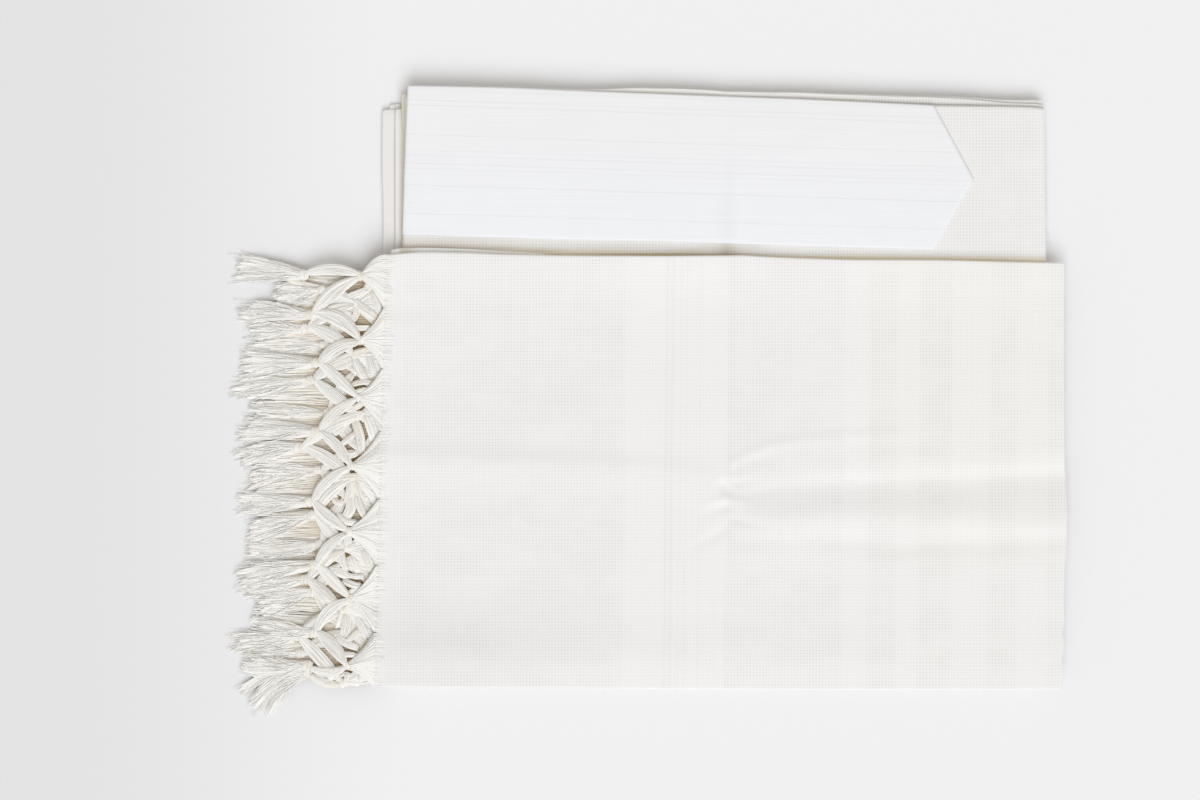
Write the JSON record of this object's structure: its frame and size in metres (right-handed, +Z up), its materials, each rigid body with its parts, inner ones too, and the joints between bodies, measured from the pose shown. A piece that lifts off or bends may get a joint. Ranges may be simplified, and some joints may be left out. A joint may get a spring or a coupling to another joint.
{
  "type": "folded tallit prayer shawl",
  "caption": "White woven prayer shawl folded flat, with satin stripes, a pointed neck band and a knotted fringe along one side.",
  "frame": {"origin": "on the surface that the shawl lies on, under the middle of its bounding box", "axes": "+X from the fringe to the folded side, +Y from the hem-side fold to the neck edge, +Z up"},
  "size_m": [0.5856, 0.4406, 0.019],
  "materials": {
    "back_layers": "matt open-weave wool",
    "back_panel": "matt open-weave wool",
    "atarah": "smooth ribbed white band",
    "front_layers": "matt open-weave wool",
    "front_panel": "matt open-weave wool with satin stripes",
    "fringe": "loose matt yarn"
  },
  "bodies": {
    "root": {"back_layers": "back_layers", "back_panel": "back_panel", "atarah": "atarah", "front_layers": "front_layers", "front_panel": "front_panel", "fringe_first": "fringe", "fringe_second": "fringe", "fringe_third": "fringe"}
  },
  "joints": []
}
